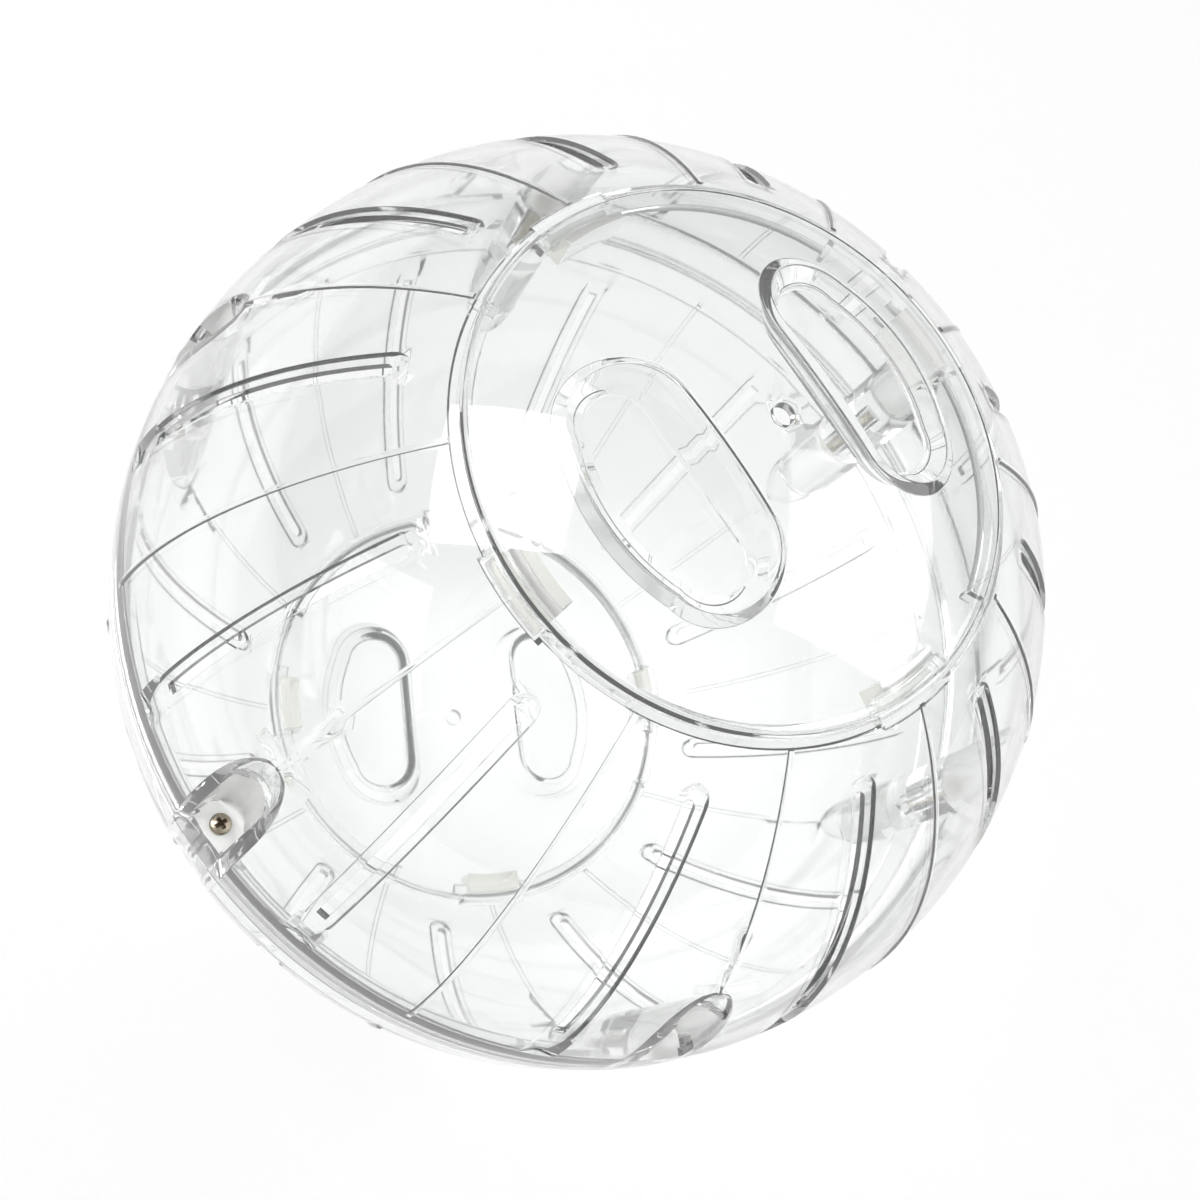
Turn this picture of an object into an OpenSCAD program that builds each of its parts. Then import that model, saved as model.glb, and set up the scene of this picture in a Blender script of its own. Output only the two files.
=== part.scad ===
// Clear hamster ball: two vented half shells screwed together at the seam, with a
// twist-off domed lid at each end. +Z runs through both lids, the origin is the
// ball's centre, and the seam lies in the XY plane.

/* [Ball] */
// Outside diameter of the ball
ball_d = 200; // [180:1:240]
// Wall of the shells and the lids
wall_t = 2.2; // [1.8:0.1:2.8]
// Ribs, and also vents, round each half
rib_count = 12; // [12:6:24]

/* [Seam] */
// Height of the thick seam band on each half
seam_h = 12; // [10:0.5:14]
// Thickness of the seam band
seam_t = 4.4; // [4:0.1:5]
// Height of the tongue that registers the halves
tongue_h = 2; // [1.5:0.1:3]
// Thickness of the tongue
tongue_t = 1.2; // [1:0.1:1.5]
// Gap all round the tongue
tongue_clear = 0.1; // [0.05:0.01:0.15]

/* [Ribs and vents] */
// Width of a rib
rib_w = 1.1; // [0.8:0.1:1.6]
// Height of a rib above the shell
rib_h = 0.4; // [0.2:0.1:0.6]
// Width of the shallow channel round a vent
channel_w = 5.5; // [4.5:0.1:6.5]
// Depth of the channel
channel_depth = 0.9; // [0.6:0.1:1.1]
// Width of the vent slot
vent_w = 2.3; // [1.6:0.1:3]
// Distance from the lid's opening to the channel
channel_inset = 8.4; // [6:0.2:12]
// Wall between the end of the channel and the end of the vent at the lid
vent_margin = 2.3; // [1.6:0.1:3]
// Height of the vent's lower end above the seam
vent_low_h = 23.7; // [20:0.1:28]

/* [Screw pockets] */
// Screw pockets round each half
pocket_count = 6; // [6:2:6]
// Radius of a pocket
pocket_r = 5.7; // [5:0.1:6.4]
// Distance of the pocket's centre inside the ball's surface
pocket_inset = 4; // [3.2:0.1:4.6]
// Wall behind a pocket
pocket_wall = 1.8; // [1.4:0.1:2.2]
// Diameter of the screw's shank
screw_d = 2.3; // [2:0.1:2.6]
// Diameter of the screw's head
screw_head_d = 4.2; // [3.9:0.1:5]
// Height of the screw's head
screw_head_h = 1.5; // [1.2:0.1:2]
// Length of the screw under its head
screw_len = 19; // [17:0.5:21]
// Gap between the shank and the hole that it passes through
screw_clear = 0.2; // [0.15:0.05:0.3]
// Gap between the shank and its pilot hole
pilot_clear = 0.03; // [0.02:0.01:0.05]
// Width of an arm of the cross recess
cross_w = 0.55; // [0.4:0.05:0.7]
// Length of the cross recess over both arms
cross_len = 2.3; // [2:0.1:2.6]
// Depth of the cross recess
cross_depth = 0.8; // [0.6:0.1:1]

/* [Lids] */
// Diameter of the lid's opening
mouth_d = 104.6; // [98:0.2:110]
// Gap round the lid
lid_gap = 0.35; // [0.3:0.05:0.6]
// Diameter of the hole at the pole
pole_hole_d = 4.1; // [3.6:0.1:5]
// Diameter of the flat land round the pole hole
pole_land_d = 9; // [8:0.5:12]
// Width of a finger pocket
grip_w = 20; // [18:0.5:22]
// Length of a finger pocket
grip_len = 46.6; // [42:0.2:50]
// Width of the web between the two finger pockets
grip_web = 26.4; // [24:0.2:30]
// Diameter of the arc round the pole that bounds the finger pockets
grip_arc_d = 72.8; // [70:0.2:75]
// Depth of a finger pocket below the pole
grip_depth = 9; // [8:0.5:11]

/* [Bayonet] */
// Bayonet clips on each lid
clip_count = 4; // [4:1:4]
// Angle that a clip spans
clip_deg = 16; // [12:1:18]
// Radial distance from the opening to the clip's outside
clip_inset = 3.6; // [3.4:0.1:4]
// Thickness of a clip's wall
clip_t = 2; // [1.6:0.1:2.4]
// Reach of a clip's foot beyond its wall
foot_reach = 2.8; // [2:0.1:3]
// Gap outside a foot in its entry notch
notch_clear = 1.2; // [1:0.1:1.4]
// Thickness of a clip's foot
foot_t = 1.6; // [1.4:0.1:2]
// Width of the ledge inside the opening
ledge_w = 2.9; // [2.4:0.1:3.1]
// Thickness of the ledge
ledge_t = 2; // [1.6:0.1:2.4]
// Running gap between a lid and the ledge, above and below
ledge_clear = 0.3; // [0.2:0.05:0.4]
// Turn that frees a lid
twist_deg = 20; // [18:1:22]
// Angle between a clip and a stop
stop_gap_deg = 0.6; // [0.4:0.1:1]
// Thickness of a stop
stop_t = 1; // [0.8:0.1:1.4]
// Height of the nib that a clip snaps past
nib_h = 0.15; // [0.1:0.05:0.15]

/* [Hidden] */
$fn = 96;
// Overrun of every cut
over = 1;
// Fineness of small round parts
small_fn = 32;
clear_plastic = [0.86, 0.9, 0.9, 0.45];
clear_lid = [0.9, 0.93, 0.95, 0.45];
steel = [0.62, 0.62, 0.6];

ball_r = ball_d / 2;
inner_r = ball_r - wall_t;
mouth_r = mouth_d / 2;
lid_r = mouth_r - lid_gap;
rib_step = 360 / rib_count;
pocket_step = 360 / pocket_count;

// Heights where a radius meets the outer and the inner sphere
function sphere_z(r, at) = sqrt(r * r - at * at);
rim_z = sphere_z(inner_r, mouth_r);
land_z = sphere_z(ball_r, pole_land_d / 2);

// Seam band and tongue
band_in_r = ball_r - seam_t;
tongue_in_r = ball_r - wall_t - tongue_t;

// Vents, as distances from the lid's axis
channel_in = mouth_r + channel_inset;
channel_out = sphere_z(ball_r, seam_h);
vent_in = channel_in + vent_margin;
vent_out = sphere_z(ball_r, vent_low_h);
rib_in = mouth_r + wall_t;
rib_out = channel_out;

// Screw pockets and screws
pocket_at = ball_r - pocket_inset;
floor_z = seam_h;
boss_r = pocket_r + pocket_wall;
shank_below = screw_len - floor_z;
pilot_depth = shank_below + screw_clear;

// Lid and bayonet
ledge_in_r = mouth_r - ledge_w;
ledge_top = rim_z - ledge_clear;
ledge_low = ledge_top - ledge_t;
foot_top = ledge_low - ledge_clear;
foot_low = foot_top - foot_t;
clip_out_r = mouth_r - clip_inset;
clip_in_r = clip_out_r - clip_t;
foot_out_r = clip_out_r + foot_reach;
clip_step = 360 / clip_count;
clip_half = clip_deg / 2;
notch_r = foot_out_r + notch_clear;
stop_low = foot_low;
stop_deg = stop_t / mouth_r * 180 / PI;
locked_deg = -clip_half - stop_gap_deg;
nib_deg = clip_half + stop_gap_deg;
open_deg = twist_deg + clip_half + stop_gap_deg;
grip_at = (grip_web + grip_w) / 2;
grip_floor = land_z - grip_depth;
grip_reach = (grip_len - grip_w) / 2;
grip_wedge_shares = [[1, -1], [3, -3], [3, 3], [1, 1]];
lid_turn_deg = 90;
half_turn_deg = 180;
half_turn_axis_deg = 30;

// Solid of all points between two angles, from the axis out to a radius
module sector(from_deg, to_deg, r, h) {
    linear_extrude(h)
        polygon([
            [0, 0],
            [r * cos(from_deg), r * sin(from_deg)],
            [r * cos((from_deg + to_deg) / 2), r * sin((from_deg + to_deg) / 2)],
            [r * cos(to_deg), r * sin(to_deg)],
        ]);
}

// Flat ring from one radius to another
module ring(in_r, out_r, low, high) {
    translate([0, 0, low])
        difference() {
            cylinder(r = out_r, h = high - low);
            translate([0, 0, -over])
                cylinder(r = in_r, h = high - low + 2 * over);
        }
}

// Part of a flat ring between two angles
module ring_part(in_r, out_r, low, high, from_deg, to_deg) {
    intersection() {
        ring(in_r, out_r, low, high);
        translate([0, 0, low - over])
            sector(from_deg, to_deg, 2 * out_r, high - low + 2 * over);
    }
}

// Slot outline along X with round ends, from one distance to another
module slot_outline(from, to, w) {
    translate([from + w / 2, 0])
        circle(d = w, $fn = small_fn);
    translate([from + w / 2, -w / 2])
        square([to - from - w, w]);
    translate([to - w / 2, 0])
        circle(d = w, $fn = small_fn);
}

// Upper half of a sphere, from a height up
module dome(r, low) {
    intersection() {
        sphere(r = r);
        translate([-2 * r, -2 * r, low])
            cube([4 * r, 4 * r, 2 * r]);
    }
}

// Raised rib along a meridian
module rib() {
    intersection() {
        difference() {
            dome(ball_r + rib_h, seam_h);
            sphere(r = ball_r - wall_t / 2);
        }
        translate([rib_in, -rib_w / 2, 0])
            cube([rib_out - rib_in, rib_w, ball_d]);
    }
}

// Shallow channel and the vent slot through its floor
module vent_cut() {
    difference() {
        translate([0, 0, seam_h])
            linear_extrude(ball_r)
                slot_outline(channel_in, channel_out, channel_w);
        sphere(r = ball_r - channel_depth);
    }
    translate([0, 0, vent_low_h])
        linear_extrude(ball_r)
            slot_outline(vent_in, vent_out + vent_w, vent_w);
}

// Solid column that holds a screw pocket and its boss
module pocket_column() {
    intersection() {
        sphere(r = ball_r);
        translate([pocket_at, 0, 0])
            cylinder(r = boss_r, h = ball_r);
    }
}

// Inner ledge that the bayonet clips turn under, with its entry notches
module ledge() {
    difference() {
        intersection() {
            sphere(r = ball_r - wall_t / 2);
            ring(ledge_in_r, mouth_r + wall_t, ledge_low, ledge_top);
        }
        for (k = [0 : clip_count - 1])
            rotate([0, 0, k * clip_step])
                translate([0, 0, ledge_low - over])
                    intersection() {
                        cylinder(r = notch_r, h = ledge_t + 2 * over);
                        sector(twist_deg - clip_half - stop_gap_deg, open_deg + stop_deg / 2,
                               ball_r, ledge_t + 2 * over);
                    }
    }
}

// Locked stop, snap nib and open stop beside each clip
module stops() {
    for (k = [0 : clip_count - 1])
        rotate([0, 0, k * clip_step]) {
            ring_part(ledge_in_r, mouth_r, stop_low, ledge_low, locked_deg - stop_deg, locked_deg);
            ring_part(ledge_in_r, mouth_r, ledge_low - nib_h, ledge_low, nib_deg, nib_deg + stop_deg);
            ring_part(ledge_in_r, notch_r, stop_low, ledge_top, open_deg, open_deg + stop_deg);
        }
}

// Hole for the shank of a screw that enters from this half
module through_hole() {
    translate([pocket_at, 0, -over])
        cylinder(d = screw_d + 2 * screw_clear, h = floor_z + 2 * over, $fn = small_fn);
}

// Blind hole that the thread of the other half's screw cuts into
module pilot_hole() {
    translate([pocket_at, 0, -over])
        cylinder(d = screw_d + 2 * pilot_clear, h = pilot_depth + over, $fn = small_fn);
}

// One half shell with its seam on the XY plane. Even pockets take this half's own
// screws, and odd pockets take the screws of the other half.
module half_shell() {
    difference() {
        union() {
            difference() {
                dome(ball_r, 0);
                sphere(r = inner_r);
            }
            intersection() {
                sphere(r = ball_r - wall_t / 2);
                ring(band_in_r, ball_r, 0, seam_h);
            }
            for (k = [0 : rib_count - 1])
                rotate([0, 0, k * rib_step])
                    rib();
            for (k = [0 : pocket_count - 1])
                rotate([0, 0, k * pocket_step])
                    pocket_column();
        }
        translate([0, 0, rim_z - ledge_clear])
            cylinder(r = mouth_r, h = ball_r);
        for (k = [0 : rib_count - 1])
            rotate([0, 0, (k + 1 / 2) * rib_step])
                vent_cut();
        for (k = [0 : pocket_count - 1])
            rotate([0, 0, k * pocket_step])
                translate([pocket_at, 0, floor_z])
                    cylinder(r = pocket_r, h = ball_r);
        for (k = [0 : 2 : pocket_count - 1])
            rotate([0, 0, k * pocket_step])
                through_hole();
        for (k = [1 : 2 : pocket_count - 1])
            rotate([0, 0, k * pocket_step])
                pilot_hole();
    }
    ledge();
    stops();
}

// Tongue ring that stands out of the front half's seam
module tongue() {
    difference() {
        ring(tongue_in_r, tongue_in_r + tongue_t, -tongue_h, over);
        for (k = [0 : pocket_count - 1])
            rotate([0, 0, k * pocket_step])
                translate([pocket_at, 0, -tongue_h - over])
                    cylinder(r = boss_r, h = tongue_h + 3 * over);
    }
}

// Groove in the back half, in the frame of the front half
module tongue_groove() {
    ring(tongue_in_r - tongue_clear, tongue_in_r + tongue_t + tongue_clear,
         -tongue_h - tongue_clear, over);
}

// The back half is the front half turned over about a level axis
module turn_over() {
    rotate([0, 0, half_turn_axis_deg])
        rotate([180, 0, 0])
            rotate([0, 0, -half_turn_axis_deg])
                children();
}

module front_shell() {
    color(clear_plastic) {
        half_shell();
        tongue();
    }
}

module back_shell() {
    color(clear_plastic)
        difference() {
            turn_over()
                half_shell();
            difference() {
                tongue_groove();
                for (k = [0 : pocket_count - 1])
                    rotate([0, 0, k * pocket_step])
                        translate([pocket_at, 0, -tongue_h - over])
                            cylinder(r = boss_r - tongue_clear, h = tongue_h + 2 * over);
            }
        }
}

// Bayonet clip: a curved wall under the lid with a foot that turns under the ledge
module clip() {
    difference() {
        union() {
            ring_part(clip_in_r, clip_out_r, foot_low, ball_r, -clip_half, clip_half);
            ring_part(clip_in_r, foot_out_r, foot_low, foot_top, -clip_half, clip_half);
        }
        difference() {
            cylinder(r = ball_r, h = ball_r + over);
            sphere(r = ball_r - wall_t / 2);
        }
    }
}

// Outline of a finger pocket, grown by a distance: a bar with round ends, and beyond
// it a bulge that an arc round the pole bounds
module grip_outline(grow) {
    translate([grip_at, 0])
        rotate([0, 0, 90])
            translate([-grip_len / 2, 0])
                translate([-grow, 0])
                    slot_outline(0, grip_len + 2 * grow, grip_w + 2 * grow);
    intersection() {
        circle(d = grip_arc_d + 2 * grow);
        polygon([for (share = grip_wedge_shares)
            [grip_at * share.x, grip_reach * share.y]]);
    }
}

// Domed lid with two finger pockets, a pole hole and the bayonet clips
module lid() {
    difference() {
        union() {
            intersection() {
                difference() {
                    dome(ball_r, rim_z);
                    sphere(r = inner_r);
                }
                cylinder(r = lid_r, h = 2 * ball_r);
            }
            for (side = [0, half_turn_deg])
                intersection() {
                    sphere(r = ball_r);
                    rotate([0, 0, side])
                        translate([0, 0, grip_floor - wall_t])
                            linear_extrude(ball_r)
                                grip_outline(wall_t);
                }
            for (k = [0 : clip_count - 1])
                rotate([0, 0, k * clip_step])
                    clip();
        }
        for (side = [0, half_turn_deg])
            rotate([0, 0, side])
                translate([0, 0, grip_floor])
                    linear_extrude(ball_r)
                        grip_outline(0);
        translate([0, 0, rim_z])
            cylinder(d = pole_hole_d, h = ball_r, $fn = small_fn);
        translate([0, 0, land_z])
            cylinder(d = 2 * mouth_d, h = ball_r);
    }
}

module front_lid() {
    color(clear_lid)
        lid();
}

// The back lid sits a quarter turn round from where the turned half would hold it
module back_lid() {
    color(clear_lid)
        turn_over()
            rotate([0, 0, lid_turn_deg])
                lid();
}

// Pan head screw with a cross recess, its head on a pocket floor of the front half
module screw() {
    difference() {
        union() {
            translate([0, 0, floor_z - screw_len])
                cylinder(d = screw_d, h = screw_len, $fn = small_fn);
            translate([0, 0, floor_z])
                cylinder(d = screw_head_d, h = screw_head_h, $fn = small_fn);
        }
        for (turn = [0, 90])
            rotate([0, 0, turn])
                translate([-cross_len / 2, -cross_w / 2, floor_z + screw_head_h - cross_depth])
                    cube([cross_len, cross_w, cross_depth + over]);
    }
}

// Odd screws enter from the front half and even screws from the back half
module placed_screw(number) {
    color(steel)
        if (number % 2 == 1)
            rotate([0, 0, (number - 1) * pocket_step])
                translate([pocket_at, 0, 0])
                    screw();
        else
            rotate([0, 0, (number - 1) * pocket_step])
                translate([pocket_at, 0, 0])
                    rotate([180, 0, 0])
                        screw();
}

front_shell();
back_shell();
front_lid();
back_lid();
placed_screw(1);  // screw_1
placed_screw(2);  // screw_2
placed_screw(3);  // screw_3
placed_screw(4);  // screw_4
placed_screw(5);  // screw_5
placed_screw(6);  // screw_6
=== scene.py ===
# %% [markdown]
# A clear hamster ball, 200 mm across. The real thing is four mouldings in clear
# plastic, two vented half shells and two domed lids, and the small screws that
# hold the halves together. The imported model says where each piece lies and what
# moves, and this file dresses it: it makes the mouldings again as smooth surfaces
# with rounded edges, gives them clear plastic, and lights them so that clear
# edges read as fine grey lines on white.

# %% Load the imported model
import bpy
import numpy as np
from math import pi, radians
from mathutils import Matrix, Vector
from mathutils.geometry import delaunay_2d_cdt


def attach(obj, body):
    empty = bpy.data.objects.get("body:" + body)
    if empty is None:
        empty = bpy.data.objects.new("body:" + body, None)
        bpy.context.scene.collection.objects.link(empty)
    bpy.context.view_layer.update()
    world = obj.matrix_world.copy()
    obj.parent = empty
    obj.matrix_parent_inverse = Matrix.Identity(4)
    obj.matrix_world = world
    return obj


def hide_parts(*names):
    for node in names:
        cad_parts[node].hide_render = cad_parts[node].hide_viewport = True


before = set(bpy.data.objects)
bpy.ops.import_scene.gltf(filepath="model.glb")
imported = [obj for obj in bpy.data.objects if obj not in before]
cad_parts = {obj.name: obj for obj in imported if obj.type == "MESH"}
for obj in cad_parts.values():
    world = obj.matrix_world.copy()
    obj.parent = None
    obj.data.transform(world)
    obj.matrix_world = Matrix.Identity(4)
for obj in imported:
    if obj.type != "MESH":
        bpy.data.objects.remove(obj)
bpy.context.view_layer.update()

MM = 0.001

# %% [markdown]
# The camera comes first. It looks down on one lid from about two ball widths away,
# the way the photograph was taken. Its place was fitted to the ball's outline, the
# lid's groove and the ribs, and it is written here as shares of the ball's radius,
# so that it would follow a ball of another size.

# %% Camera
BALL_R = 100.0
CAMERA_SHARES = (1.7398, 0.2710, 3.2704)
CAMERA_RIGHT = Vector((-0.73907, 0.56897, 0.36061))
CAMERA_UP = Vector((-0.47397, -0.81962, 0.32181))
LENS_MM = 50.28
SENSOR_MM = 36.0


def place_camera():
    """A camera whose own axes are given: right, up, and back, which is right times up."""
    data = bpy.data.cameras.new("camera")
    data.lens, data.sensor_width, data.sensor_fit = LENS_MM, SENSOR_MM, "AUTO"
    data.clip_start, data.clip_end = 0.01, 50
    camera = bpy.data.objects.new("camera", data)
    bpy.context.scene.collection.objects.link(camera)
    right = CAMERA_RIGHT.normalized()
    back = right.cross(CAMERA_UP).normalized()
    turn = Matrix((right, back.cross(right), back)).transposed().to_4x4()
    where = Vector(CAMERA_SHARES) * BALL_R * MM
    camera.matrix_world = Matrix.Translation(where) @ turn
    bpy.context.scene.camera = camera
    return camera


camera = place_camera()
print("camera at", [round(c, 4) for c in camera.location], "m")

# %% [markdown]
# Every moulding is a closed grid of points: rows run round the ball and columns
# run down it. A grid can hold sharp features only where its lines follow them, so
# the columns bunch up along the ribs and the vents, and the rows bunch up where
# these end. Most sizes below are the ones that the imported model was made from. The
# others, such as the ledges in the screw pockets, are fine detail from the photograph.

# %% Sizes of the shells, in millimetres and degrees
WALL = 2.2
RIBS = 12
RIB_HALF, RIB_H = 0.6, 0.4
SEAM_H, SEAM_T, SEAM_GAP = 12.0, 4.4, 0.05
MOUTH_R = 52.3
CHANNEL_HALF, CHANNEL_DEPTH, CHANNEL_SLOPE = 2.75, 0.9, (0.15, 0.1)
CHANNEL_IN, CHANNEL_OUT = 60.7, 99.28
VENT_HALF, VENT_IN, VENT_LOW = 1.15, 63.0, 23.7
POCKET_R, POCKET_AT, BOSS_WALL = 5.7, 96.0, 1.8
POCKET_LEDGE, SLOT_HALF, SCOOP_R = 33.0, 4.7, 3.0
SCOOP_IN = POCKET_AT - SLOT_HALF
SCOOP = [(SCOOP_IN + SCOOP_R * (1 - np.sin(t)), SEAM_H + SCOOP_R * (1 - np.cos(t)), np.tan(t))
         for t in np.radians([0, 20, 40, 60, 80])]
TONGUE_IN, TONGUE_OUT, TONGUE_H, TONGUE_CLEAR = 96.6, 97.8, 2.0, 0.1
SCREW_R, PILOT_H, SCREW_ROOM, PILOT_ROOM, HOLE_END = 1.15, 7.2, 0.2, 0.03, 0.1
INNER_R = BALL_R - WALL
FLOOR_R = BALL_R - CHANNEL_DEPTH
STEP = 2 * pi / RIBS
RIM_Z = np.sqrt(INNER_R**2 - MOUTH_R**2)

# %% Bayonet sizes
CLIPS = 4
CLIP_HALF, STOP_GAP, TWIST = 8.0, 0.6, 20.0
LEDGE_IN, LEDGE_T, LEDGE_CLEAR = 49.4, 2.0, 0.3
LEDGE_TOP = RIM_Z - LEDGE_CLEAR
LEDGE_LOW = LEDGE_TOP - LEDGE_T
FOOT_TOP = LEDGE_LOW - LEDGE_CLEAR
FOOT_LOW = FOOT_TOP - 1.6
CLIP_OUT, CLIP_IN, FOOT_OUT = 48.7, 46.7, 51.5
STOP_DEG, NIB_H = 1.1, 0.15
EDGE, RIM_ROUND, PAD_OUT = 0.15, 0.45, 54.0
LEDGE_OUT = MOUTH_R + 3.5 * EDGE
RIM_END = radians(34.5)
print("ledge from", round(LEDGE_LOW, 2), "to", round(LEDGE_TOP, 2), "mm above the seam")

# %% [markdown]
# The outer face of a shell is a height function: for each direction from the
# ball's centre it gives the distance at which the plastic ends. A rib adds to the
# radius, a vent's channel takes from it, and a screw pocket takes whatever lies
# inside a cylinder above its ledge and a narrower one below. The inner face is
# another height function, with the seam band and the columns behind the pockets.

# %% Height functions of a shell


def ramp(distance, half=0.06):
    """1 well inside an outline, 0 well outside, and a straight slope between."""
    return np.clip((half - distance) / (2 * half), 0, 1)


def to_capsule(x, y, low, high, half):
    """Signed distance from a bar with round ends that lies along x from low to high."""
    near = np.clip(x, low + half, high - half)
    return np.hypot(x - near, y) - half


def quarter(azimuth):
    """Degrees past the nearest clip, from -45 to 45."""
    return (np.degrees(azimuth) + 45) % (360 / CLIPS) - 45


def cylinder_entry(polar, azimuth, at, r):
    """Distance at which a ray from the centre enters and leaves an upright cylinder
    that stands at a distance along azimuth zero: the two roots of a quadratic."""
    along = at * np.cos(azimuth)
    inside = r * r - (at * np.sin(azimuth)) ** 2
    reach = np.sqrt(np.maximum(inside, 0))
    near = np.where(inside > 0, (along - reach) / np.sin(polar), np.inf)
    far = np.where(inside > 0, (along + reach) / np.sin(polar), 0)
    return near, far


def pocket_entry(polar, from_rib):
    """Distance at which a ray from the centre enters a screw pocket. Above a ledge the
    pocket is an upright cylinder. Below it a narrower slot ends on the screw's seat, and
    the corner between them is rounded by planes that each ray meets at one distance."""
    level, along = np.maximum(np.cos(polar), 1e-6), np.sin(polar) * np.cos(from_rib)
    near, far = cylinder_entry(polar, from_rib, POCKET_AT, POCKET_R)
    slot, _ = cylinder_entry(polar, from_rib, POCKET_AT, SLOT_HALF)
    sweep = [(z + slope * at) / (level + slope * along) for at, z, slope in SCOOP]
    upper = np.where(far > BALL_R, np.maximum(near, POCKET_LEDGE / level), np.inf)
    return np.minimum(upper, np.maximum(slot, np.max(sweep, axis=0)))


def outer_face(polar, from_rib, from_vent, pocket):
    """Radius of a shell's outer face: the sphere, plus the rib with its rounded edges,
    less the channel between its sloped walls, the mouth's rounded edge and the pocket."""
    plan = BALL_R * np.sin(polar)
    across = np.abs(plan * np.sin(from_rib))
    along = np.maximum(MOUTH_R + WALL - plan, plan - CHANNEL_OUT)
    rib = RIB_H * np.sqrt(1 - np.clip(across / RIB_HALF, 0, 1) ** 6) * ramp(along)
    radius = BALL_R + rib
    at = [to_capsule(r * np.sin(polar) * np.cos(from_vent), r * np.sin(polar) * np.sin(from_vent),
                     CHANNEL_IN, CHANNEL_OUT, CHANNEL_HALF) + more
          for r, more in ((FLOOR_R, CHANNEL_SLOPE[0]), (BALL_R, -CHANNEL_SLOPE[1]))]
    slope = np.where(at[0] > at[1] + 1e-9, at[0] / np.maximum(at[0] - at[1], 1e-9), 1)
    wall = FLOOR_R + CHANNEL_DEPTH * np.clip(slope, 0, 1)
    channel = np.where(at[0] <= 0, FLOOR_R, np.where(at[1] < 0, wall, BALL_R))
    floor = SEAM_H / np.maximum(np.cos(polar), 1e-6)
    channel = np.minimum(np.maximum(channel, floor), BALL_R)
    radius = np.where(channel < BALL_R, channel, radius)
    into = np.clip((MOUTH_R + RIM_ROUND - plan) / RIM_ROUND, 0, 1)
    radius = radius - RIM_ROUND * (1 - np.sqrt(1 - into**2))
    cut = pocket_entry(polar, from_rib)
    return np.where(pocket & (cut < BALL_R), cut, radius)


def inner_face(polar, azimuth, from_rib, pocket):
    """Radius of a shell's inner face: the least of the inner sphere, the seam band's
    flat top and bore, the ledge's underside, which reaches further out over a clip, and
    the column behind a pocket."""
    plan_r = (BALL_R - SEAM_T) / np.sin(polar)
    in_band = plan_r * np.cos(polar) < SEAM_H
    radius = np.where(in_band, np.minimum(plan_r, INNER_R), INNER_R)
    reach = np.where(np.abs(quarter(azimuth)) < CLIP_HALF + STOP_GAP, PAD_OUT, LEDGE_OUT)
    ledge = np.minimum(radius, LEDGE_LOW / np.cos(polar))
    radius = np.where(LEDGE_LOW * np.tan(polar) < reach, ledge, radius)
    near, _ = cylinder_entry(polar, from_rib, POCKET_AT, POCKET_R + BOSS_WALL)
    return np.where(pocket, np.minimum(radius, near), radius)


# %% [markdown]
# Rows are polar angles. Round ends need rows that close up like the points of a
# semicircle, so those are spaced by a cosine, and each sharp step gets a row on
# either side of it.

# %% Rows of the grid


def on_sphere(plan, r=BALL_R):
    """Polar angle of the point of a sphere at a distance from the axis."""
    return np.arcsin(np.asarray(plan) / r)


def at_height(z, r=BALL_R):
    """Polar angle of the point of a sphere at a height."""
    return np.arccos(np.asarray(z) / r)


def shell_rows():
    """Polar angles from the mouth to the seam, close together where features end."""
    turn = np.radians([7, 18, 30, 45, 60, 75, 90])
    channel_turn = np.radians([12, 26, 40, 52, 62, 71, 79, 85, 89])
    rib_start = MOUTH_R + WALL
    rows = np.concatenate([
        on_sphere(MOUTH_R + RIM_ROUND * (1 - np.cos(np.radians([25, 45, 65, 90])))),
        on_sphere([MOUTH_R + 0.8, 53.6, rib_start - 0.08, rib_start + 0.08, 57.2, 59.0]),
        np.arctan(np.array([LEDGE_OUT - 0.03, LEDGE_OUT + 0.03, PAD_OUT - 0.03, PAD_OUT + 0.03]) / LEDGE_LOW),
        on_sphere(CHANNEL_IN - np.array([0.06, 0.14, 0.8])),
        on_sphere(CHANNEL_IN + CHANNEL_HALF * (1 - np.cos(turn))),
        on_sphere(VENT_IN + VENT_HALF * (1 - np.cos(turn[1:])), FLOOR_R),
        np.radians(np.arange(42.5, 63, 2.5)),
        on_sphere([POCKET_AT - POCKET_R - 0.12]),
        on_sphere(POCKET_AT - POCKET_R * np.cos(turn)),
        on_sphere(POCKET_AT - POCKET_R * np.cos(turn[:-1] + 0.09)),
        np.arctan((POCKET_AT - POCKET_R + np.linspace(-0.1, 2.6, 17)) / POCKET_LEDGE),
        at_height([POCKET_LEDGE + 0.05, POCKET_LEDGE - 0.05]),
        np.radians([75.0]),
        at_height([VENT_LOW], FLOOR_R),
        on_sphere(CHANNEL_OUT - CHANNEL_HALF * (1 - np.sin(channel_turn))),
        np.radians(np.arange(82.45, 83.08, 0.05)),
        np.radians([81.2, 82.05, 82.83, 82.87]),
        at_height([SEAM_H + 0.02, SEAM_H - 0.04]),
        np.radians([84.6, 86.5, 88.5]),
    ])
    rows = np.sort(rows)
    return rows[np.concatenate([[True], np.diff(rows) > radians(0.015)])]


ROWS = shell_rows()
print("rows on each face of a shell:", len(ROWS))

# %% [markdown]
# Columns start on a rib's centre line and end on a vent's. Near a rib their places
# are distances from the rib, near a vent they are distances from the vent, and the
# few between share out what is left. Where a pocket or a channel has a round end,
# the columns inside it draw together as the outline does, and open again past its
# tip, so that grid lines run along the whole outline.

# %% Columns of the grid
RIB_SIDE = np.array([0, 0.34, 0.48, 0.56, 0.6, 2.6, 4.9, 5.62, 5.78])
BEYOND_RIB = np.array([7.2, 8.4])
VENT_SIDE = np.array([3.7, 2.88, 2.82, 2.64, 2.56, 1.15, 0])
BETWEEN = 2


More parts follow.
